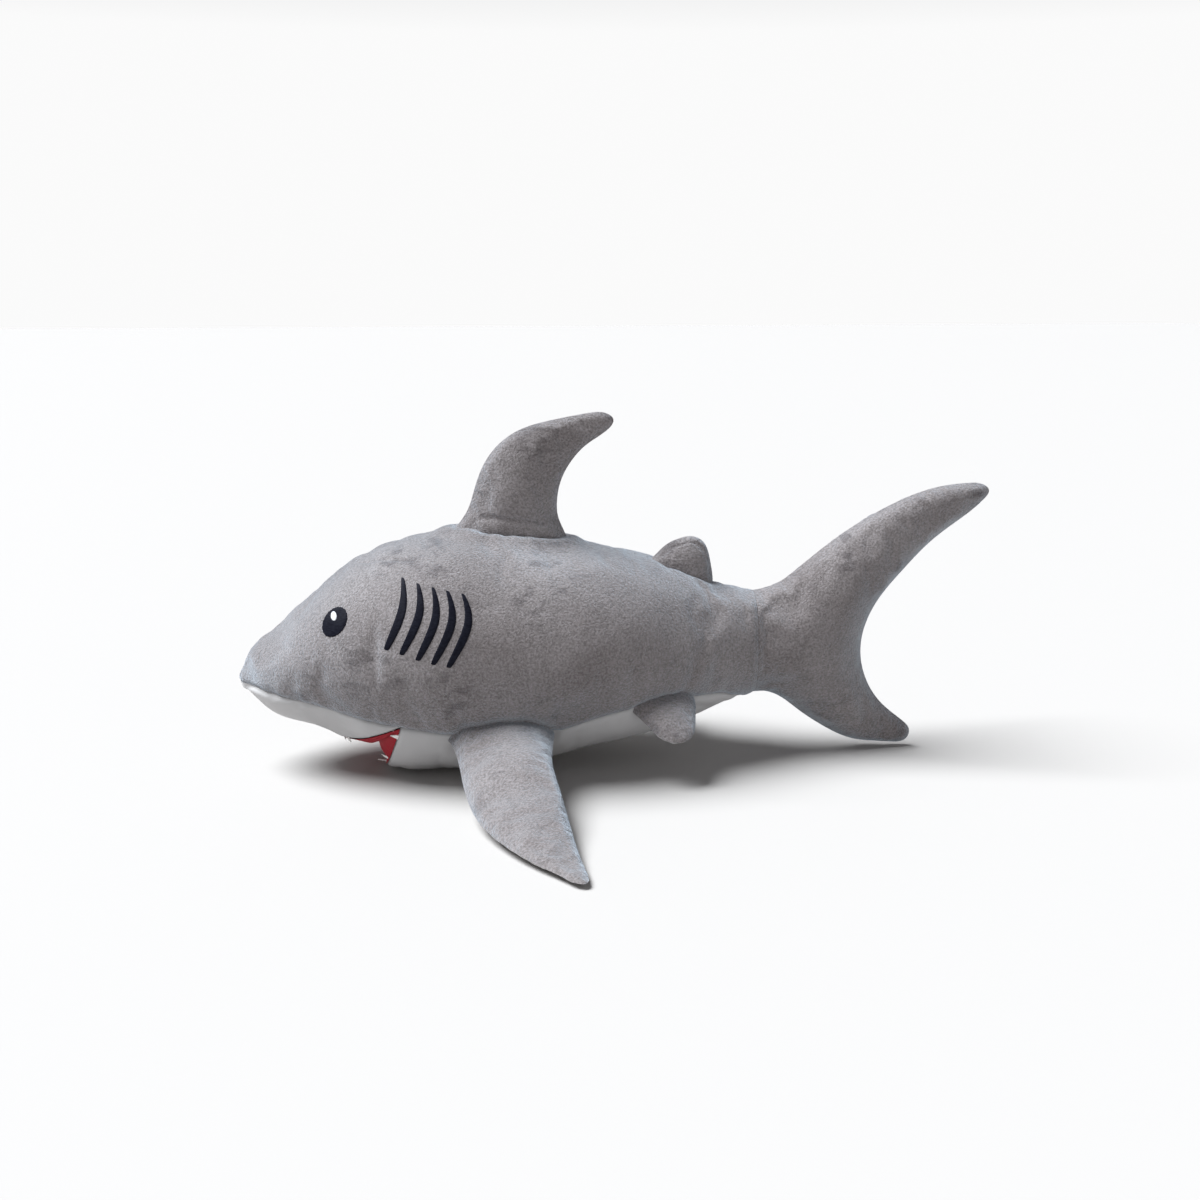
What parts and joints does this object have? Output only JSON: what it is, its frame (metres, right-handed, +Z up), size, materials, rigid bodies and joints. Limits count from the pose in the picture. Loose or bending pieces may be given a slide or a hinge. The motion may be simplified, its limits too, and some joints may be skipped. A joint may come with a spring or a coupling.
{
  "type": "plush toy",
  "caption": "Stuffed plush shark with an open mouth, standing and side fins and a crescent tail, lying on its belly.",
  "frame": {"origin": "middle of the bounding box, on the floor that the belly rests on", "axes": "+X from nose to tail, -Y the shark's left side, +Z up"},
  "size_m": [0.802, 0.6704, 0.372],
  "materials": {
    "grey_velvet": "short-pile velvet",
    "white_satin": "smooth knitted satin",
    "red_lining": "smooth knitted cloth",
    "white_felt": "felt",
    "black_thread": "satin stitch",
    "white_thread": "satin stitch",
    "fibre_filling": "loose polyester fibre"
  },
  "bodies": {
    "torso": {"body_panel_left": "grey_velvet", "body_panel_right": "grey_velvet", "belly_panel": "white_satin", "snout_underside": "white_satin", "body_filling": "fibre_filling", "mouth_roof_lining": "red_lining", "mouth_floor_lining": "red_lining", "upper_teeth": "white_felt", "lower_teeth": "white_felt", "eye_left": "black_thread", "eye_right": "black_thread", "eye_highlight_left": "white_thread", "eye_highlight_right": "white_thread", "gill_slits_left": "black_thread", "gill_slits_right": "black_thread"},
    "dorsal_fin": {"dorsal_fin_panel_left": "grey_velvet", "dorsal_fin_panel_right": "grey_velvet", "dorsal_fin_filling": "fibre_filling"},
    "rear_dorsal_fin": {"rear_dorsal_fin_panel_left": "grey_velvet", "rear_dorsal_fin_panel_right": "grey_velvet", "rear_dorsal_fin_filling": "fibre_filling"},
    "pectoral_fin_left": {"pectoral_fin_left_top": "grey_velvet", "pectoral_fin_left_underside": "white_satin", "pectoral_fin_left_filling": "fibre_filling"},
    "pectoral_fin_right": {"pectoral_fin_right_top": "grey_velvet", "pectoral_fin_right_underside": "white_satin", "pectoral_fin_right_filling": "fibre_filling"},
    "pelvic_fin_left": {"pelvic_fin_left_top": "grey_velvet", "pelvic_fin_left_underside": "white_satin", "pelvic_fin_left_filling": "fibre_filling"},
    "pelvic_fin_right": {"pelvic_fin_right_top": "grey_velvet", "pelvic_fin_right_underside": "white_satin", "pelvic_fin_right_filling": "fibre_filling"},
    "tail_fin": {"tail_fin_panel_left": "grey_velvet", "tail_fin_panel_right": "grey_velvet", "tail_fin_filling": "fibre_filling"}
  },
  "joints": [
    {"name": "tail_swing", "type": "hinge", "parent": "torso", "child": "tail_fin", "pos_m": [0.148, 0, 0.126], "axis": [0, 0, 1], "range_deg": [-25, 25], "stiffness_Nm_per_rad": 0.6},
    {"name": "dorsal_fin_lean", "type": "hinge", "parent": "torso", "child": "dorsal_fin", "pos_m": [-0.111, 0, 0.2555], "axis": [0.9949, 0, -0.1013], "range_deg": [-40, 40], "stiffness_Nm_per_rad": 0.3},
    {"name": "rear_dorsal_fin_lean", "type": "hinge", "parent": "torso", "child": "rear_dorsal_fin", "pos_m": [0.073, 0, 0.2125], "axis": [0.9274, 0, -0.374], "range_deg": [-40, 40], "stiffness_Nm_per_rad": 0.08},
    {"name": "pectoral_fin_left_lift", "type": "hinge", "parent": "torso", "child": "pectoral_fin_left", "pos_m": [-0.1255, -0.099, 0.0535], "axis": [-0.9983, -0.0582, -0.0097], "range_deg": [-45, 35], "stiffness_Nm_per_rad": 0.5},
    {"name": "pectoral_fin_right_lift", "type": "hinge", "parent": "torso", "child": "pectoral_fin_right", "pos_m": [-0.1255, 0.099, 0.0535], "axis": [0.9983, -0.0582, 0.0097], "range_deg": [-45, 35], "stiffness_Nm_per_rad": 0.5},
    {"name": "pelvic_fin_left_lift", "type": "hinge", "parent": "torso", "child": "pelvic_fin_left", "pos_m": [0.0455, -0.0735, 0.0755], "axis": [-0.9379, -0.3319, -0.101], "range_deg": [-40, 45], "stiffness_Nm_per_rad": 0.1},
    {"name": "pelvic_fin_right_lift", "type": "hinge", "parent": "torso", "child": "pelvic_fin_right", "pos_m": [0.0455, 0.0735, 0.0755], "axis": [0.9379, -0.3319, 0.101], "range_deg": [-40, 45], "stiffness_Nm_per_rad": 0.1}
  ]
}
